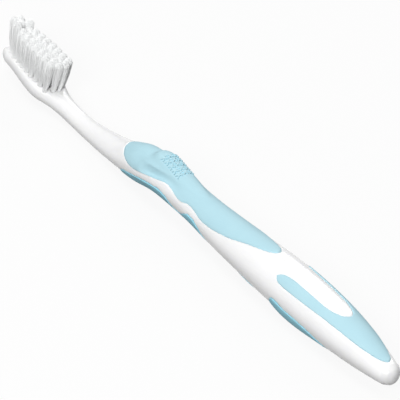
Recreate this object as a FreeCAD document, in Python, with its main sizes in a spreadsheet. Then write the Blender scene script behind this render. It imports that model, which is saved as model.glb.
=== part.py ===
import FreeCAD, Part
import math
import os
from FreeCAD import Placement, Rotation, Vector

# Manual toothbrush lying on its back, in millimetres.
# X runs from the toe of the head to the butt, Z points to the bristle side, the table is Z = 0.
document = FreeCAD.newDocument("manual_toothbrush")
sheet = document.addObject("Spreadsheet::Sheet", "sizes")

# Stations from toe to butt: run from the station before, half-width,
# height of the back line and height of the bristle-side line.
STATIONS = {
    "head_toe": (8.5, 4.1, 3.9, 7.9),
    "head_heel": (14.0, 5.6, 2.2, 6.9),
    "shoulder": (7.0, 3.85, 1.4, 6.35),
    "neck_front": (5.5, 3.15, 0.6, 6.1),
    "neck_slim": (8.0, 3.15, 0.15, 5.6),
    "neck_root": (10.0, 4.0, 0.1, 6.7),
    "grip_front": (10.0, 5.2, 0.7, 8.9),
    "saddle": (11.0, 6.2, 1.0, 13.3),
    "thumb": (8.0, 6.4, 1.8, 15.0),
    "thumb_rear": (9.0, 5.75, 2.9, 13.8),
    "waist": (10.0, 5.55, 2.9, 12.65),
    "fore_palm": (14.0, 6.4, 1.7, 13.0),
    "palm": (27.0, 7.7, 0.65, 14.7),
    "palm_rear": (18.0, 7.4, 0.85, 14.2),
    "tail": (15.0, 5.95, 1.7, 12.3),
    "tail_end": (10.5, 4.0, 2.8, 9.9),
}

SIZES = {
    "butt_round": 4.5,
    "head_squareness": 0.55,
    "grip_depth": 1.4,
    "grip_proud": 0.15,
    "palm_swell": 1.0,
    "leaf_height": 0.45,
    "leaf_flank": 0.9,
    "hole_radius": 0.8,
    "hole_depth": 2.8,
    "tuft_clearance": 0.03,
    "tuft_tip_radius": 1.0,
    "tuft_height": 10.2,
    "toe_tuft_height": 11.6,
    "tuft_pitch": 2.6,
    "heel_tuft_inset": 2.1,
    "inner_column": 1.1,
    "outer_column": 3.2,
    "heel_lean": 7.0,
    "toe_lean": -4.0,
    "anchor_length": 1.5,
    "anchor_height": 1.3,
    "anchor_thickness": 0.25,
    "anchor_lift": 0.45,
    "anchor_turn": 30.0,
}

for name, values in STATIONS.items():
    for kind, value in zip(("run", "half_width", "back", "front"), values):
        SIZES[f"{name}_{kind}"] = value
for row, (alias, value) in enumerate(SIZES.items(), 1):
    sheet.set(f"A{row}", alias)
    sheet.set(f"B{row}", str(value))
    sheet.setAlias(f"B{row}", alias)
document.recompute()


def size(alias):
    return float(sheet.get(alias))


# Places of the stations along X, with the middle of the whole length at X = 0.
length = sum(size(f"{name}_run") for name in STATIONS) + size("butt_round")
place = {}
reach = -length / 2
for name in STATIONS:
    reach += size(f"{name}_run")
    place[name] = reach


# Cross-sections: rounded ovals whose sizes follow smooth curves through the stations.
def smooth(points, x):
    """Value at x on a smooth curve through (x, value) points."""
    index = 0
    while index < len(points) - 2 and points[index + 1][0] < x:
        index += 1
    slopes = []
    for middle in (index, index + 1):
        before = points[max(middle - 1, 0)]
        after = points[min(middle + 1, len(points) - 1)]
        slopes.append((after[1] - before[1]) / (after[0] - before[0]))
    (start, low), (end, high) = points[index], points[index + 1]
    t = (x - start) / (end - start)
    chord = (high - low) * (1 - 2 * t)
    bend = (slopes[0] * (1 - t) - slopes[1] * t) * (end - start)
    return low + (high - low) * t + t * (1 - t) * (bend - chord)


def line_of(kind):
    return [(place[name], size(f"{name}_{kind}")) for name in STATIONS]


half_width_line = line_of("half_width")
back_line = line_of("back")
front_line = line_of("front")
square_line = [(place["head_toe"], size("head_squareness")), (place["head_heel"], size("head_squareness")),
               (place["neck_front"], 1.0), (place["tail_end"], 1.0)]


def skin_point(x, angle, grow):
    """Point of the skin at an angle from its widest line, moved outwards by grow."""
    inside = min(max(x, place["head_toe"]), place["tail_end"])
    back = smooth(back_line, inside)
    front = smooth(front_line, inside)
    middle = (back + front) / 2
    half_width = smooth(half_width_line, inside)
    half_height = (front - back) / 2
    if x != inside:
        run = size("head_toe_run") if x < inside else size("butt_round")
        share = math.sqrt(max(1 - ((x - inside) / run) ** 2, 0))
        half_width *= share
        half_height *= share ** 0.7
    square = smooth(square_line, inside)
    across = math.cos(math.radians(angle))
    up = math.sin(math.radians(angle))
    across = math.copysign(abs(across) ** square, across)
    up = math.copysign(abs(up) ** square, up)
    return Vector(x, (half_width + grow) * across, middle + (half_height + grow) * up)


def ring(x, spans):
    """Closed section at x made of spans, each from one angle to another at some growth.

    A span is an arc whose middle bulges further out, or with flats a run of straight pieces.
    """
    edges = []
    corners = []
    for start, end, grow, bulge, flats in spans:
        first = skin_point(x, start, grow)
        if flats:
            stops = [skin_point(x, start + (end - start) * step / flats, grow) for step in range(flats + 1)]
            piece = [Part.makeLine(*pair) for pair in zip(stops, stops[1:])]
        else:
            crown = skin_point(x, (start + end) / 2, grow + bulge)
            piece = [Part.Arc(first, crown, skin_point(x, end, grow)).toShape()]
        if edges and not corners[-1].isEqual(first, 1e-6):
            edges.append(Part.makeLine(corners[-1], first))
        edges += piece
        corners += [first, skin_point(x, end, grow)]
    if not corners[-1].isEqual(corners[0], 1e-6):
        edges.append(Part.makeLine(corners[-1], corners[0]))
    return Part.Wire(edges)


def strips(label, places, spans_at):
    """Solid of short straight strips through the sections at the given places."""
    feature = document.addObject("Part::Feature", label)
    feature.Shape = Part.makeLoft([ring(x, spans_at(x)) for x in places], True, True)
    return feature


def boolean(kind, label, shapes):
    feature = document.addObject(kind, label)
    if kind == "Part::Cut":
        feature.Base, feature.Tool = shapes
    else:
        feature.Shapes = shapes
    return feature


def between(start, end, pitch):
    """Places from start to end, closer together at both ends."""
    lead = [0.0, 0.15 * pitch, 0.5 * pitch, pitch]
    count = max(round((end - start - 2 * pitch) / pitch), 1)
    step = (end - start - 2 * pitch) / count
    inner = [start + pitch + step * number for number in range(1, count)]
    return [start + shift for shift in lead] + inner + [end - shift for shift in lead[::-1]]


def even(start, end, pitch):
    count = math.ceil((end - start) / pitch)
    return [start + (end - start) * step / count for step in range(count + 1)]


# Outlines of the grips on the skin: angle above the widest line beside a station.
def outline(*stops):
    points = [(place[name] + shift, angle) for name, shift, angle in stops]
    return lambda x: smooth(points, x)


TIP = 86
front_edge = outline(
    ("grip_front", 2.4, TIP),
    ("grip_front", 3.6, 60),
    ("grip_front", 6.4, 31),
    ("saddle", 0.0, 10),
    ("saddle", 4.5, 8),
    ("thumb", 2.8, 17),
    ("thumb_rear", -0.3, 31),
    ("waist", -4.0, 19),
    ("waist", 0.0, 32),
    ("waist", 7.5, 21.5),
    ("fore_palm", 5.0, 37),
    ("fore_palm", 11.0, 53),
    ("palm", -8.0, 71),
    ("palm", -6.3, 79),
    ("palm", -5.6, TIP),
)
upper_back_edge = outline(
    ("grip_front", 2.4, -TIP),
    ("grip_front", 3.6, -62),
    ("grip_front", 6.0, -27),
    ("saddle", 0.0, -18),
    ("thumb", 0.0, -10),
    ("thumb_rear", -1.0, -7),
    ("waist", -4.7, -42),
    ("waist", 0.5, -2),
    ("waist", 3.4, -2),
    ("waist", 6.2, -12),
    ("waist", 10.0, -50),
    ("fore_palm", 4.0, -62),
    ("palm", -10.0, -44),
    ("palm", -7.0, -60),
    ("palm", -5.6, -TIP),
)
lower_back_edge = outline(
    ("palm", 1.2, -24),
    ("palm", 2.5, -12),
    ("palm", 7.7, -17),
    ("palm_rear", -2.7, -21),
    ("palm_rear", 2.0, -29),
    ("palm_rear", 5.6, -46),
    ("palm_rear", 8.0, -72),
    ("palm_rear", 8.8, -TIP),
)
heel_outer_edge = outline(
    ("palm", 1.2, 42),
    ("palm", 2.4, 34),
    ("palm", 5.0, 31.5),
    ("palm", 11.5, 33),
    ("palm_rear", 4.0, 38),
    ("tail", -1.0, 43),
    ("tail_end", -6.5, 48),
    ("tail_end", -2.5, 58),
    ("tail_end", -0.3, 70),
    ("tail_end", 0.8, TIP),
)
heel_inner_edge = outline(
    ("palm", 1.2, 44),
    ("palm", 2.4, 52),
    ("palm", 5.0, 57),
    ("palm", 11.8, 58.7),
    ("palm_rear", 1.5, 59.7),
    ("palm_rear", 5.0, 64),
    ("palm_rear", 7.8, 75),
    ("palm_rear", 8.8, TIP),
)
leaf_share = outline(
    ("grip_front", 2.4, 0.5),
    ("thumb", -4.0, 0.42),
    ("thumb", -1.5, 0.38),
    ("thumb_rear", 0.8, 0.38),
    ("waist", -4.0, 0.58),
    ("waist", 1.0, 0.68),
    ("waist", 2.6, 0.85),
    ("fore_palm", 0.0, 0.8),
    ("palm", -5.6, 0.5),
)

# Places of the sections, closer together at the ends of every grip.
PITCH = 1.8
leaf_start = place["thumb"] - 3.4
leaf_end = place["waist"] + 2.6
grip_places = between(place["grip_front"] + 2.4, place["palm"] - 5.6, PITCH)
swell_places = between(place["palm"] + 1.2, place["palm_rear"] + 8.8, PITCH)
cap_places = between(swell_places[-1], place["tail_end"] + 0.8, PITCH)
END_TURNS = [math.radians(turn) for turn in (28, 52, 72, 86)]
toe_places = [place["head_toe"] - size("head_toe_run") * math.sin(turn) for turn in reversed(END_TURNS)]
butt_places = [place["tail_end"] + size("butt_round") * math.sin(turn) for turn in END_TURNS]
head_places = even(place["head_toe"], place["shoulder"], 2.4)
body_places = even(place["shoulder"], place["tail_end"], 3.9)

depth = -size("grip_depth")
proud = size("grip_proud")
CLEAR = 1.0


def whole_oval(x):
    turns = (-30, 30, 60, 120, 150, 210, 240, 300, 330)
    return [(start, end, 0.0, 0.0, 0) for start, end in zip(turns, turns[1:])]


def layer(reach, outer):
    """Sections of a layer on the skin, from the floor of its bed out to the given growth."""
    def spans_at(x):
        start, end = reach(x)
        middle = (start + end) / 2
        return [(start, middle, outer, 0.0, 0), (middle, end, outer, 0.0, 0), (end, start, depth, 0.0, 2)]
    return spans_at


def front_reach(x):
    return front_edge(x), 180 - front_edge(x)


def upper_back_reach(x):
    return 180 - upper_back_edge(x), 360 + upper_back_edge(x)


def lower_back_reach(x):
    return 180 - lower_back_edge(x), 360 + lower_back_edge(x)


def arm_reach(x):
    return heel_outer_edge(x), heel_inner_edge(x)


def other_arm_reach(x):
    return 180 - heel_inner_edge(x), 180 - heel_outer_edge(x)


def cap_reach(x):
    return heel_outer_edge(x), 180 - heel_outer_edge(x)


# Front grip, with a raised thumb leaf and a hollow flank on either side of it.
def front_layer(x):
    front = front_edge(x)
    leaf = front + (90 - front) * leaf_share(x)
    along = min(max((x - leaf_start) / (leaf_end - leaf_start), 0), 1)
    hollow = -size("leaf_flank") * math.sin(math.pi * along ** 0.45) ** 1.5
    crown = size("leaf_height") * math.sqrt(math.sin(math.pi * along ** 0.7))
    return [(front, leaf, proud, hollow, 0), (leaf, 180 - leaf, proud, crown, 0),
            (180 - leaf, 180 - front, proud, hollow, 0), (180 - front, front, depth, 0.0, 2)]


front_grip = strips("front_grip", grip_places, front_layer)

# Upper back grip for the fingers.
upper_back_grip = strips("upper_back_grip", grip_places, layer(upper_back_reach, proud))


# Lower back grip: it swells out of the palm and is flat where the brush rests on it.
def swell_layer(x):
    start, end = lower_back_reach(x)
    share = (x - swell_places[0]) / (swell_places[-1] - swell_places[0])
    swell = size("palm_swell") * math.sin(math.pi * share ** 0.58) ** 1.5
    return [(start, end, proud, swell, 0), (end, start, depth, 0.0, 2)]


over_table = document.addObject("Part::Box", "over_table")
over_table.Length = length
over_table.Width = length
over_table.Height = length
over_table.Placement.Base = Vector(-length / 2, -length / 2, 0)
swell_blank = strips("lower_back_blank", swell_places, swell_layer)
lower_back_grip = boolean("Part::MultiCommon", "lower_back_grip", [swell_blank, over_table])

# Heel grip: a horseshoe of two arms and a round cap about the white tongue.
heel_grip = boolean("Part::MultiFuse", "heel_grip", [
    strips("heel_arm", swell_places, layer(arm_reach, proud)),
    strips("other_heel_arm", swell_places, layer(other_arm_reach, proud)),
    strips("heel_cap", cap_places, layer(cap_reach, proud)),
])


def bound(feature, **expressions):
    for name, expression in expressions.items():
        feature.setExpression(name.replace("_", "."), expression)


# Tufts: bundles of nylon folded over a flat metal anchor and driven into a hole of the head.
BUNDLE_SIDES = 8
hole = document.addObject("Part::Prism", "hole")
hole.Polygon = BUNDLE_SIDES
hole.Placement.Rotation = Rotation(Vector(0, 0, 1), 180 / BUNDLE_SIDES)
bound(hole, Circumradius="sizes.hole_radius", Height="2 * sizes.hole_depth", Placement_Base_z="-sizes.hole_depth")
anchor = document.addObject("Part::Box", "anchor")
bound(anchor, Length="sizes.anchor_length", Width="sizes.anchor_thickness", Height="sizes.anchor_height",
      Placement_Base_x="-sizes.anchor_length / 2", Placement_Base_y="-sizes.anchor_thickness / 2",
      Placement_Base_z="sizes.anchor_lift - sizes.hole_depth")


def bundle_ring(radius, height):
    turns = [2 * math.pi * (corner + 0.5) / BUNDLE_SIDES for corner in range(BUNDLE_SIDES)]
    return [Vector(radius * math.cos(turn), radius * math.sin(turn), height) for turn in turns]


def tuft_bundle(label, height):
    """Bundle of flat sides, straight in its hole and spreading above it, slotted for its anchor."""
    root = size("hole_radius") - size("tuft_clearance")
    rings = [bundle_ring(root, -size("hole_depth")), bundle_ring(root, 0.0),
             bundle_ring(size("tuft_tip_radius"), height)]
    outlines = [rings[0], rings[-1]]
    for lower, upper in zip(rings, rings[1:]):
        for corner in range(BUNDLE_SIDES):
            following = (corner + 1) % BUNDLE_SIDES
            outlines.append([lower[corner], lower[following], upper[following], upper[corner]])
    faces = [Part.Face(Part.makePolygon(corners, True)) for corners in outlines]
    whole = document.addObject("Part::Feature", f"{label}_whole")
    whole.Shape = Part.Solid(Part.Shell(faces))
    return boolean("Part::Cut", label, [whole, anchor])


main_tuft = tuft_bundle("main_tuft", size("tuft_height"))
toe_tuft = tuft_bundle("toe_tuft", size("toe_tuft_height"))
document.recompute()

# Two inner and two outer columns of tufts, staggered by half a pitch, and a taller group at the toe.
pitch = size("tuft_pitch")
heel_x = place["shoulder"] - size("heel_tuft_inset")
spots = []
for step in range(8):
    spots.append((heel_x - step * pitch, size("inner_column"), main_tuft))
for step in range(7):
    share = 1 - 0.04 * max(step - 3, 0) ** 1.5
    spots.append((heel_x - (step + 0.5) * pitch, size("outer_column") * share, main_tuft))
toe_x = heel_x - 7.6 * pitch
spots.append((toe_x, size("outer_column") * 0.72, toe_tuft))
spots.append((toe_x - 0.5 * pitch, 0.0, toe_tuft))
spots.append((toe_x - 1.2 * pitch, size("inner_column"), toe_tuft))

placements = []
for x, offset, body in spots:
    share = (heel_x - x) / (8.8 * pitch)
    lean = size("heel_lean") + (size("toe_lean") - size("heel_lean")) * share
    turn = Rotation(Vector(0, 1, 0), lean).multiply(Rotation(Vector(0, 0, 1), size("anchor_turn")))
    top = skin_point(x, 90, 0.0).z
    for side in ((1, -1) if offset else (1,)):
        placements.append((Placement(Vector(x, side * offset, top), turn), body))

tufts = []
holes = []
anchors = []
for number, (spot, body) in enumerate(placements, 1):
    tuft = document.addObject("Part::Feature", f"tuft_{number:02d}")
    tuft.Shape = body.Shape
    tuft.Placement = spot
    tufts.append(tuft)
    holes.append(hole.Shape.transformed(spot.toMatrix()))
    anchors.append(anchor.Shape.transformed(spot.toMatrix()))

tuft_anchors = document.addObject("Part::Feature", "tuft_anchors")
tuft_anchors.Shape = Part.makeCompound(anchors)
hole_cutters = document.addObject("Part::Feature", "hole_cutters")
hole_cutters.Shape = Part.makeCompound(holes)

# White handle: the skin with a bed for each grip and a hole for each tuft.
beds = [
    strips("front_bed", grip_places, layer(front_reach, CLEAR)),
    strips("upper_back_bed", grip_places, layer(upper_back_reach, CLEAR)),
    strips("lower_back_bed", swell_places, layer(lower_back_reach, CLEAR)),
    strips("heel_arm_bed", swell_places, layer(arm_reach, CLEAR)),
    strips("other_heel_arm_bed", swell_places, layer(other_arm_reach, CLEAR)),
    strips("heel_cap_bed", cap_places, layer(cap_reach, CLEAR)),
]
skin_places = toe_places + head_places[:-1] + body_places + butt_places
handle_blank = strips("skin", skin_places, whole_oval)
for bed in beds:
    handle_blank = boolean("Part::Cut", f"skin_less_{bed.Label}", [handle_blank, bed])
handle = boolean("Part::Cut", "handle", [handle_blank, hole_cutters])
document.recompute()

nodes = [handle, front_grip, upper_back_grip, lower_back_grip, heel_grip, *tufts, tuft_anchors]
for item in document.Objects:
    if "Invalid" in item.State or "Error" in item.State:
        raise RuntimeError(f"{item.Label} did not build")
os.makedirs("parts", exist_ok=True)
for node in nodes:
    if node.Shape.isNull() or not node.Shape.isValid():
        raise RuntimeError(f"{node.Label} has no valid shape")
    node.Shape.exportStep(f"parts/{node.Label}.step")
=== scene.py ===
import math
import random

import bpy
from mathutils import Matrix, Vector
from mathutils.kdtree import KDTree


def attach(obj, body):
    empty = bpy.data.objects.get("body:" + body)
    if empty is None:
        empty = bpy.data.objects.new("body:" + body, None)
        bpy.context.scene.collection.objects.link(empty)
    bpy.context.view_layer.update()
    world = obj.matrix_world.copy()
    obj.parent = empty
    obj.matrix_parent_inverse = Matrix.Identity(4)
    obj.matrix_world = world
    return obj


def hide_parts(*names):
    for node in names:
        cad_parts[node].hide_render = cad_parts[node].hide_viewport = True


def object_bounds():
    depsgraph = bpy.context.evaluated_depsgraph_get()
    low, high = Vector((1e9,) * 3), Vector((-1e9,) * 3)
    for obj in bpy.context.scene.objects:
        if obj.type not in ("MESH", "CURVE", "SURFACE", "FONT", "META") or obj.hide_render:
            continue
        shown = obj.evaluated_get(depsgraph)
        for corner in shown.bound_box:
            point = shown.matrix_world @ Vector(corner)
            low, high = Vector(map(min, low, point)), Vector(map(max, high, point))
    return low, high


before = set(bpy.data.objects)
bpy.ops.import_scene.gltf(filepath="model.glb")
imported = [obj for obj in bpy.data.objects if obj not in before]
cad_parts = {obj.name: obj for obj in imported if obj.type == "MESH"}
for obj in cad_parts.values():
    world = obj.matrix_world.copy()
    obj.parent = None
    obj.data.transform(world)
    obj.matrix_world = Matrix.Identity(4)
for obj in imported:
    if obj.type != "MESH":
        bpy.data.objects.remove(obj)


# Handle: one white moulding from the toe of the head to the butt, injected in polypropylene.
# Its beds take the soft grips of the second shot, and the head is drilled for the tufts.
MM = 0.001
WELD_REACH = 0.002 * MM
PLASTIC_VOXEL = 0.32 * MM
PLASTIC_SWELL = 0.02 * MM
SMOOTHING = 3
SMOOTHING_FACTOR = 0.5
FLOW_MARK = 9 * MM
ORANGE_PEEL = 1.6 * MM
PEEL_DEPTH = 0.1 * MM
cad_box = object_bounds()


def linear(colour):
    """Linear RGBA of an sRGB hex colour."""
    parts = [int(colour[at:at + 2], 16) / 255 for at in (1, 3, 5)]
    return [part / 12.92 if part <= 0.04045 else ((part + 0.055) / 1.055) ** 2.4 for part in parts] + [1.0]


def add_node(material, kind, sockets, **settings):
    """New shader node with its settings, and its sockets set to values or linked to other sockets.

    Sockets go by name, or by number where names repeat: a colour Mix has its share at 0 and its two
    colours at 6 and 7.
    """
    node = material.node_tree.nodes.new("ShaderNode" + kind)
    for name, value in settings.items():
        setattr(node, name, value)
    for socket, value in sockets.items():
        if isinstance(value, bpy.types.NodeSocket):
            material.node_tree.links.new(value, node.inputs[socket])
        else:
            node.inputs[socket].default_value = value
    return node


def empty_material(name):
    """Material without shader nodes."""
    material = bpy.data.materials.new(name)
    material.use_nodes = True
    material.node_tree.nodes.clear()
    return material


def apply_modifier(piece, kind, **settings):
    """Adds a modifier to a piece, which stays selected and active, and applies it."""
    bpy.ops.object.select_all(action="DESELECT")
    piece.select_set(True)
    bpy.context.view_layer.objects.active = piece
    bpy.ops.object.modifier_add(type=kind)
    modifier = piece.modifiers[-1]
    for name, value in settings.items():
        setattr(modifier, name, value)
    bpy.ops.object.modifier_apply(modifier=modifier.name)


def moulded_piece(name, node, voxel, swell, material):
    """Moulding with softened edges and an even skin, on the shape of a CAD node and inside the CAD box."""
    piece = bpy.data.objects.new(name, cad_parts[node].data.copy())
    bpy.context.scene.collection.objects.link(piece)
    apply_modifier(piece, "WELD", merge_threshold=WELD_REACH)
    apply_modifier(piece, "REMESH", mode="VOXEL", voxel_size=voxel)
    apply_modifier(piece, "SMOOTH", factor=SMOOTHING_FACTOR, iterations=SMOOTHING)
    apply_modifier(piece, "DISPLACE", mid_level=0.0, strength=swell)
    lowest, highest = cad_box
    for vertex in piece.data.vertices:
        vertex.co = [min(max(value, low), high) for value, low, high in zip(vertex.co, lowest, highest)]
    bpy.ops.object.shade_smooth()
    piece.data.materials.clear()
    piece.data.materials.append(material)
    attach(piece, "root")
    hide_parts(node)
    return piece


# White polypropylene from a polished mould: glossy, a little milky, with faint flow marks.
polypropylene = empty_material("moulded_polypropylene")
place = add_node(polypropylene, "TexCoord", {})
flow = add_node(polypropylene, "TexNoise", {
    "Vector": place.outputs["Object"], "Scale": 1 / FLOW_MARK, "Detail": 3.0})
tone = add_node(polypropylene, "Mix", {
    0: flow.outputs["Fac"], 6: linear("#F6F6F7"), 7: linear("#FBFBFB")}, data_type="RGBA")
gloss = add_node(polypropylene, "MapRange", {"Value": flow.outputs["Fac"], "To Min": 0.20, "To Max": 0.27})
peel = add_node(polypropylene, "TexNoise", {
    "Vector": place.outputs["Object"], "Scale": 1 / ORANGE_PEEL, "Detail": 1.0})
bump = add_node(polypropylene, "Bump", {
    "Height": peel.outputs["Fac"], "Strength": 0.02, "Distance": PEEL_DEPTH})
body = add_node(polypropylene, "BsdfPrincipled", {
    "Base Color": tone.outputs[2], "Roughness": gloss.outputs[0], "IOR": 1.49, "Specular IOR Level": 0.5,
    "Subsurface Weight": 0.15, "Subsurface Radius": (0.8, 0.8, 0.9), "Subsurface Scale": 1.0 * MM,
    "Normal": bump.outputs["Normal"]})
add_node(polypropylene, "OutputMaterial", {"Surface": body.outputs["BSDF"]})
moulded_piece("moulded_handle", "handle", PLASTIC_VOXEL, PLASTIC_SWELL, polypropylene)


# Soft grips: four pads of thermoplastic elastomer, overmoulded on the handle in the second shot.
# They stand a little proud of the white body and have a fine matt grain from the mould.
RUBBER_VOXEL = 0.18 * MM
RUBBER_SWELL = 0.05 * MM
CLOUD = 7 * MM
GRAIN = 0.35 * MM
GRAIN_DEPTH = 0.05 * MM


def overmoulded_elastomer(name, deep, light):
    """Light-blue elastomer from an eroded mould: matt, with a soft bloom at glancing light.

    Its grain is drawn coarser than the real one, so that it shows.
    """
    material = empty_material(name)
    place = add_node(material, "TexCoord", {})
    cloud = add_node(material, "TexNoise", {
        "Vector": place.outputs["Object"], "Scale": 1 / CLOUD, "Detail": 3.0})
    tone = add_node(material, "Mix", {
        0: cloud.outputs["Fac"], 6: linear(deep), 7: linear(light)}, data_type="RGBA")
    grain = add_node(material, "TexNoise", {
        "Vector": place.outputs["Object"], "Scale": 1 / GRAIN, "Detail": 2.0})
    bump = add_node(material, "Bump", {
        "Height": grain.outputs["Fac"], "Strength": 0.10, "Distance": GRAIN_DEPTH})
    matt = add_node(material, "MapRange", {"Value": grain.outputs["Fac"], "To Min": 0.60, "To Max": 0.72})
    body = add_node(material, "BsdfPrincipled", {
        "Base Color": tone.outputs[2], "Roughness": matt.outputs[0], "IOR": 1.5, "Specular IOR Level": 0.3,
        "Sheen Weight": 0.02, "Normal": bump.outputs["Normal"]})
    add_node(material, "OutputMaterial", {"Surface": body.outputs["BSDF"]})
    return material


# The back grips take a deeper blue copy of the same elastomer. This is painted shade for the shade on their
# undersides, not a colour of their own.
elastomer = overmoulded_elastomer("overmoulded_elastomer", "#B0D7E3", "#B8DDE7")
painted_shade_elastomer = overmoulded_elastomer("overmoulded_elastomer_painted_shade", "#99D5E7", "#A1DDED")
grips = {}
for node, material in (("front_grip", elastomer), ("upper_back_grip", painted_shade_elastomer),
                       ("lower_back_grip", painted_shade_elastomer), ("heel_grip", elastomer)):
    grips[node] = moulded_piece("soft_" + node, node, RUBBER_VOXEL, RUBBER_SWELL, material)


# Flat of the upper back grip: the part of that elastomer pad that lies behind the thumb leaf.
# It is moulded flatter than the solid, so the pad's outer skin is drawn in there.
FLAT_BACK = -13 * MM
FLAT_REACH = 7 * MM
FLAT_DEPTH = 0.75 * MM
BACK_SLOPE = (0.1, 0.6)


def ramp(value, low, high):
    """Smooth step from 0 at low to 1 at high."""
    share = min(max((value - low) / (high - low), 0), 1)
    return share * share * (3 - 2 * share)


def bell(value, middle, width):
    """Smooth hump of height 1 about its middle."""
    return math.exp(-((value - middle) / width) ** 2)


back_skin = grips["upper_back_grip"].data
back_normals = [vertex.normal.copy() for vertex in back_skin.vertices]
for vertex, normal in zip(back_skin.vertices, back_normals):
    depth = FLAT_DEPTH * bell(vertex.co.x, FLAT_BACK, FLAT_REACH)
    vertex.co -= normal * depth * ramp(-normal.z, *BACK_SLOPE)


# Thumb leaf: the raised leaf of the front grip, with a soft rim and a valley round its head end.
# It is one elastomer moulding with the grip, so its skin is drawn up and pressed down on that piece.
# LEAF_SIDE gives the place along the brush and the half width there, in millimetres.
LEAF_SIDE = ((-15.8, 0.0), (-15.3, 1.5), (-13.8, 2.6), (-11.5, 3.2), (-8.5, 3.5), (-4.0, 3.3), (0.0, 2.9),
             (4.0, 2.2), (7.0, 1.2), (8.6, 0.0))
LEAF_STEPS = 12
LEAF_RAISE = 0.14 * MM
RIM_WIDTH = 1.6 * MM
VALLEY_DEPTH = 0.5 * MM
VALLEY_OFFSET = 1.7 * MM
VALLEY_WIDTH = 1.5 * MM
VALLEY_ENDS = (-12 * MM, 1 * MM)
SADDLE = -18.6 * MM
SADDLE_DEPTH = 0.55 * MM
SADDLE_WIDTH = 2.8 * MM
SLICE = 1 * MM
BORDER_HEIGHT = (0.25 * MM, 1.2 * MM)
SKIN_SLOPE = (-0.2, 0.1)
PRESS_SLOPE = (0.3, 0.8)
SKIN_SMOOTHING = 50

rim = []
for (x, half), (next_x, next_half) in zip(LEAF_SIDE, LEAF_SIDE[1:]):
    for step in range(LEAF_STEPS):
        share = step / LEAF_STEPS
        for side in (-1, 1):
            rim.append((x + (next_x - x) * share, side * (half + (next_half - half) * share)))
nearest_rim = KDTree(len(rim))
for number, (x, y) in enumerate(rim):
    nearest_rim.insert((x * MM, y * MM, 0), number)
nearest_rim.balance()


def half_leaf(x):
    """Half width of the leaf at a place along the brush, and 0 beyond its ends."""
    for (start, half), (end, next_half) in zip(LEAF_SIDE, LEAF_SIDE[1:]):
        if start * MM <= x <= end * MM:
            return (half + (next_half - half) * (x / MM - start) / (end - start)) * MM
    return 0.0


front_skin = grips["front_grip"].data
border = {}
for vertex in front_skin.vertices:
    slice_at = round(vertex.co.x / SLICE)
    border[slice_at] = min(border.get(slice_at, vertex.co.z), vertex.co.z)
weights = []
moves = []
for vertex in front_skin.vertices:
    height = vertex.co.z - border[round(vertex.co.x / SLICE)]
    weights.append(ramp(height, *BORDER_HEIGHT) * ramp(vertex.normal.z, *SKIN_SLOPE))
    away = nearest_rim.find((vertex.co.x, vertex.co.y, 0))[2]
    if abs(vertex.co.y) < half_leaf(vertex.co.x):
        away = -away
    raised = LEAF_RAISE * ramp(-away, -RIM_WIDTH / 2, RIM_WIDTH / 2)
    fading = 1 - ramp(vertex.co.x, *VALLEY_ENDS)
    pressed = VALLEY_DEPTH * bell(away, VALLEY_OFFSET, VALLEY_WIDTH) * fading
    pressed += SADDLE_DEPTH * bell(vertex.co.x, SADDLE, SADDLE_WIDTH)
    moves.append(vertex.normal * (raised - pressed) * ramp(vertex.normal.z, *PRESS_SLOPE))
outer_skin = grips["front_grip"].vertex_groups.new(name="outer_skin")
for vertex, weight, move in zip(front_skin.vertices, weights, moves):
    vertex.co += move * weight
    outer_skin.add([vertex.index], weight, "REPLACE")
apply_modifier(grips["front_grip"], "SMOOTH", factor=SMOOTHING_FACTOR, iterations=SKIN_SMOOTHING,
               vertex_group="outer_skin")
grips["front_grip"].vertex_groups.clear()
bpy.ops.object.shade_smooth()


# Thumb ribs: short crossed bars in a lattice on the thumb leaf, moulded in one with the front grip.
# They are of its elastomer, follow the leaf and stand a third of a millimetre above it, for a wet thumb.
RIB_LENGTH = 2.1 * MM
RIB_WIDTH = 0.42 * MM
RIB_HEIGHT = 0.3 * MM
RIB_ROUND = 0.1 * MM
ROUND_STEPS = 3
RIB_SIDES = 16
RIB_MIDDLE = 0.01 * MM
RIB_CUTS = (-0.6 * MM, -0.3 * MM, 0.3 * MM, 0.6 * MM)
RIB_PITCH = 1.9 * MM
RIB_ROWS = 5
FIRST_RIB = -11.0 * MM
RIB_COLUMNS = (-2.0 * MM, 0.0, 2.0 * MM)
RIB_TURNS = (52, 128)
ABOVE_LEAF = 30 * MM
ALONG_BAR = Vector((1, 0, 0))
DOWN = Vector((0, 0, -1))


def cut_across(axis, places):
    """Cuts the active mesh square to an axis, so that it can be stretched or bent there."""
    bpy.ops.object.mode_set(mode="EDIT")
    for place in places:
        bpy.ops.mesh.select_all(action="SELECT")
        bpy.ops.mesh.bisect(plane_co=axis * place, plane_no=axis)
    bpy.ops.mesh.select_all(action="DESELECT")
    bpy.ops.object.mode_set(mode="OBJECT")


bpy.ops.object.select_all(action="DESELECT")
bpy.ops.mesh.primitive_cylinder_add(vertices=RIB_SIDES, radius=RIB_WIDTH / 2, depth=2 * RIB_HEIGHT)
bar = bpy.context.object
cut_across(ALONG_BAR, (0,))
stretch = (RIB_LENGTH - RIB_WIDTH) / 2
for vertex in bar.data.vertices:
    if abs(vertex.co.x) > RIB_MIDDLE:
        vertex.co.x += math.copysign(stretch, vertex.co.x)
cut_across(ALONG_BAR, RIB_CUTS)
apply_modifier(bar, "BEVEL", width=RIB_ROUND, segments=ROUND_STEPS, limit_method="ANGLE")

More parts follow.
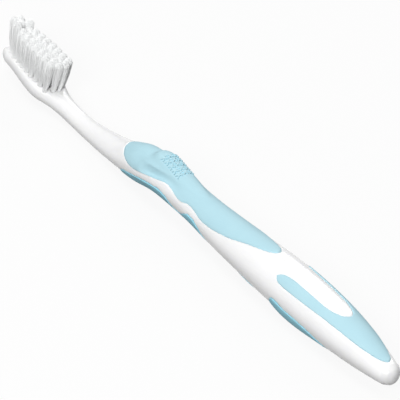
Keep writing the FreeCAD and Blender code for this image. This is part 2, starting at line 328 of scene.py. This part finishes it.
spots = [(row, across, turn) for row in range(RIB_ROWS) for across in RIB_COLUMNS for turn in RIB_TURNS]
for number, (row, across, turn) in enumerate(spots, 1):
    rib = bpy.data.objects.new(f"thumb_rib_{number}", bar.data.copy())
    bpy.context.scene.collection.objects.link(rib)
    middle = Vector((FIRST_RIB + row * RIB_PITCH, across, ABOVE_LEAF))
    turned = Matrix.Rotation(math.radians(turn), 3, "Z")
    slope = grips["front_grip"].ray_cast(middle, DOWN)[2]
    for vertex in rib.data.vertices:
        spot = middle + turned @ Vector((vertex.co.x, vertex.co.y, 0))
        vertex.co = grips["front_grip"].ray_cast(spot, DOWN)[1] + slope * vertex.co.z
    rib.data.shade_smooth()
    rib.data.materials.append(elastomer)
    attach(rib, "root")
bpy.data.objects.remove(bar)


# Bristle tufts: bundles of nylon filaments, folded over an anchor and driven into their holes.
# Each fills its hole, spreads a little above it and is trimmed to a low dome with rounded tips.
# There are more threads than in a real tuft, a little thicker, so that they show; at the root they are thin.
TUFTS = 35
TUFT_CORNERS = 8
CORNER_DIGITS = 7
FILAMENTS = 100
FILAMENT_SIDES = 6
FILAMENT_RADIUS = 0.105 * MM
ROOT_SHARE = 0.65
HOLE_DEPTH = 2.8 * MM
ROOT_SPREAD = 0.64 * MM
FLARE_SPREAD = 1.2 * MM
FLARE_HEIGHT = 0.4
TIP_SPREAD = 1.38 * MM
TIP_WANDER = 0.05 * MM
TRIM_DOME = 1.15 * MM
UNEVEN_TRIM = 0.25 * MM
GOLDEN_TURN = math.pi * (3 - math.sqrt(5))
ACROSS_HEAD = Vector((0, 1, 0))
STREAK = 0.5 * MM
random.seed(7)

# Clear white nylon, drawn to thread: milky where the threads lie together, with a soft shine along them.
nylon = empty_material("extruded_nylon")
place = add_node(nylon, "TexCoord", {})
streak = add_node(nylon, "TexNoise", {"Vector": place.outputs["Object"], "Scale": 1 / STREAK, "Detail": 2.0})
tone = add_node(nylon, "Mix", {
    0: streak.outputs["Fac"], 6: linear("#F8FAFA"), 7: linear("#FFFFFF")}, data_type="RGBA")
shine = add_node(nylon, "MapRange", {"Value": streak.outputs["Fac"], "To Min": 0.32, "To Max": 0.46})
body = add_node(nylon, "BsdfPrincipled", {
    "Base Color": tone.outputs[2], "Roughness": shine.outputs[0], "IOR": 1.53, "Specular IOR Level": 0.3,
    "Sheen Weight": 0.8, "Sheen Roughness": 0.5})
add_node(nylon, "OutputMaterial", {"Surface": body.outputs["BSDF"]})

# One filament is modelled upright, with four rings one unit apart: foot, mouth, flare and tip.
FILAMENT_END = 1.5
FILAMENT_CUTS = (-0.5, 0.5)
TIP_RING = 3
TIP_INSET = 0.45 * FILAMENT_RADIUS
TIP_EDGE = 0.9 * FILAMENT_RADIUS
TIP_DROP = 0.9 * FILAMENT_RADIUS
UPWARD = 0.9
ALONG_FILAMENT = Vector((0, 0, 1))


def ring_of(corner):
    """Which ring of the upright filament a corner is on, counted from the foot."""
    return round(corner.z + FILAMENT_END)


bpy.ops.object.select_all(action="DESELECT")
bpy.ops.mesh.primitive_cylinder_add(vertices=FILAMENT_SIDES, radius=FILAMENT_RADIUS, depth=2 * FILAMENT_END)
thread = bpy.context.object
cut_across(ALONG_FILAMENT, FILAMENT_CUTS)
for face in thread.data.polygons:
    face.select = face.normal.z > UPWARD
bpy.ops.object.mode_set(mode="EDIT")
bpy.ops.mesh.select_mode(type="FACE")
bpy.ops.mesh.inset(thickness=TIP_INSET)
bpy.ops.object.mode_set(mode="OBJECT")
drops = [TIP_DROP if ring_of(vertex.co) == TIP_RING and vertex.co.to_2d().length > TIP_EDGE else 0
         for vertex in thread.data.vertices]


def bristle_bundle(number):
    """Filaments of one tuft, from the floor of its hole to the trimmed tips."""
    node = f"tuft_{number:02d}"
    corners = {tuple(round(value, CORNER_DIGITS) for value in vertex.co)
               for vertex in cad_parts[node].data.vertices}
    corners = [Vector(corner) for corner in sorted(corners, key=lambda corner: corner[2])]
    foot = sum(corners[:TUFT_CORNERS], Vector()) / TUFT_CORNERS
    top = sum(corners[-TUFT_CORNERS:], Vector()) / TUFT_CORNERS
    along = (top - foot).normalized()
    mouth = foot + along * HOLE_DEPTH
    flare = mouth.lerp(top, FLARE_HEIGHT)
    sideways = ACROSS_HEAD.cross(along)
    first_turn = random.uniform(0, 2 * math.pi)
    threads = []
    for count in range(FILAMENTS):
        share = math.sqrt((count + 0.5) / FILAMENTS)
        turn = first_turn + count * GOLDEN_TURN
        out = sideways * math.cos(turn) + ACROSS_HEAD * math.sin(turn)
        trim = TRIM_DOME * share ** 2 + random.uniform(0, UNEVEN_TRIM)
        tip_reach = TIP_SPREAD * share + random.uniform(-TIP_WANDER, TIP_WANDER)
        stops = (foot + out * ROOT_SPREAD * share, mouth + out * ROOT_SPREAD * share,
                 flare + out * FLARE_SPREAD * share, top + out * tip_reach - along * trim)
        filament = bpy.data.objects.new(f"filament_{count}", thread.data.copy())
        bpy.context.scene.collection.objects.link(filament)
        for vertex, drop in zip(filament.data.vertices, drops):
            stop = stops[ring_of(vertex.co)]
            width = ROOT_SHARE if vertex.co.z < 0 else 1
            across = sideways * vertex.co.x + ACROSS_HEAD * vertex.co.y
            vertex.co = stop + across * width - along * drop
        threads.append(filament)
    bpy.ops.object.select_all(action="DESELECT")
    for filament in threads:
        filament.select_set(True)
    bpy.context.view_layer.objects.active = threads[0]
    bpy.ops.object.join()
    bundle = bpy.context.object
    bundle.name = f"bristles_{number:02d}"
    bundle.data.name = bundle.name
    bpy.ops.object.shade_smooth()
    bundle.data.materials.clear()
    bundle.data.materials.append(nylon)
    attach(bundle, "root")
    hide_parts(node)


for number in range(1, TUFTS + 1):
    bristle_bundle(number)
bpy.data.objects.remove(thread)


# Anchors: short pieces of flat brass wire, one across the foot of each hole, out of sight.
# Each is driven in with its folded tuft and pins it there, so the CAD solids are shown as they are.
SCRATCH = 0.4 * MM

# Rolled brass: a yellow metal, half bright, with fine scratches drawn coarser than the real ones.
brass = empty_material("rolled_brass")
place = add_node(brass, "TexCoord", {})
scratch = add_node(brass, "TexNoise", {"Vector": place.outputs["Object"], "Scale": 1 / SCRATCH, "Detail": 4.0})
rough = add_node(brass, "MapRange", {"Value": scratch.outputs["Fac"], "To Min": 0.25, "To Max": 0.45})
body = add_node(brass, "BsdfPrincipled", {
    "Base Color": linear("#C9A24E"), "Metallic": 1.0, "Roughness": rough.outputs[0]})
add_node(brass, "OutputMaterial", {"Surface": body.outputs["BSDF"]})
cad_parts["tuft_anchors"].data.materials.clear()
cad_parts["tuft_anchors"].data.materials.append(brass)


# Studio: a plain white paper floor under three soft boxes and an even sky.
# The camera stands where the photograph was taken from.
FLOOR_SIZE = 8.0
FLOOR_GAP = 0.05 * MM
GLOW = 0.975
GLOW_SHARE = 0.92
SKY_LIGHT = 0.26

# White paper: seen nearly white with the object's faint shadow, but it throws little light back up.
paper = empty_material("white_paper_floor")
ray = add_node(paper, "LightPath", {})
looked_at = add_node(paper, "Math", {
    0: ray.outputs["Is Camera Ray"], 1: ray.outputs["Is Glossy Ray"]}, operation="MAXIMUM")
seen = add_node(paper, "Math", {
    0: looked_at.outputs[0], 1: ray.outputs["Is Transmission Ray"]}, operation="MAXIMUM")
glowing = add_node(paper, "Math", {0: seen.outputs[0], 1: GLOW_SHARE}, operation="MULTIPLY")
shade = add_node(paper, "Mix", {
    0: seen.outputs[0], 6: linear("#484848"), 7: linear("#FFFFFF")}, data_type="RGBA")
dull = add_node(paper, "BsdfDiffuse", {"Color": shade.outputs[2]})
glow = add_node(paper, "Emission", {"Color": linear("#FFFFFF"), "Strength": GLOW})
mixed = add_node(paper, "MixShader", {0: glowing.outputs[0], 1: dull.outputs[0], 2: glow.outputs[0]})
add_node(paper, "OutputMaterial", {"Surface": mixed.outputs[0]})
bpy.ops.object.select_all(action="DESELECT")
bpy.ops.mesh.primitive_plane_add(size=FLOOR_SIZE, location=(0, 0, -FLOOR_GAP))
floor = bpy.context.object
floor.name = "floor"
floor.data.materials.append(paper)

world = bpy.data.worlds.new("studio")
bpy.context.scene.world = world
world.use_nodes = True
sky = world.node_tree.nodes["Background"]
sky.inputs["Color"].default_value = linear("#FFFFFF")
sky.inputs["Strength"].default_value = SKY_LIGHT


def soft_box(name, place, size, power):
    """Square lamp that points at the middle of the floor."""
    lamp = bpy.data.lights.new(name, "AREA")
    lamp.shape = "SQUARE"
    lamp.size = size
    lamp.energy = power
    box = bpy.data.objects.new(name, lamp)
    bpy.context.scene.collection.objects.link(box)
    box.location = place
    box.rotation_euler = (-Vector(place)).to_track_quat("-Z", "Y").to_euler()


soft_box("key_box", (-0.28, -0.2, 0.9), size=0.5, power=3.1)
soft_box("front_box", (0.42, -0.68, 0.5), size=0.3, power=6.1)
soft_box("back_box", (-0.45, 0.7, 0.5), size=0.5, power=3.0)

CAMERA_PLACE = Vector((585.9, -513.8, 486.9)) * MM
CAMERA_RIGHT = Vector((0.587, 0.7968, 0.1434))
CAMERA_UP = Vector((-0.4982, 0.216, 0.8397))
SENSOR = 36.0
FOCAL_PIXELS = 3192.7
FRAME_PIXELS = 400
NEAREST_SEEN = 0.05
lens = bpy.data.cameras.new("photo_camera")
lens.sensor_width = SENSOR
lens.lens = FOCAL_PIXELS / FRAME_PIXELS * SENSOR
lens.clip_start = NEAREST_SEEN
camera = bpy.data.objects.new("photo_camera", lens)
bpy.context.scene.collection.objects.link(camera)
right = CAMERA_RIGHT.normalized()
up = (CAMERA_UP - right * CAMERA_UP.dot(right)).normalized()
aim = Matrix((right, up, right.cross(up))).transposed().to_4x4()
camera.matrix_world = Matrix.Translation(CAMERA_PLACE) @ aim
bpy.context.scene.camera = camera
bpy.context.scene.view_settings.view_transform = "Standard"
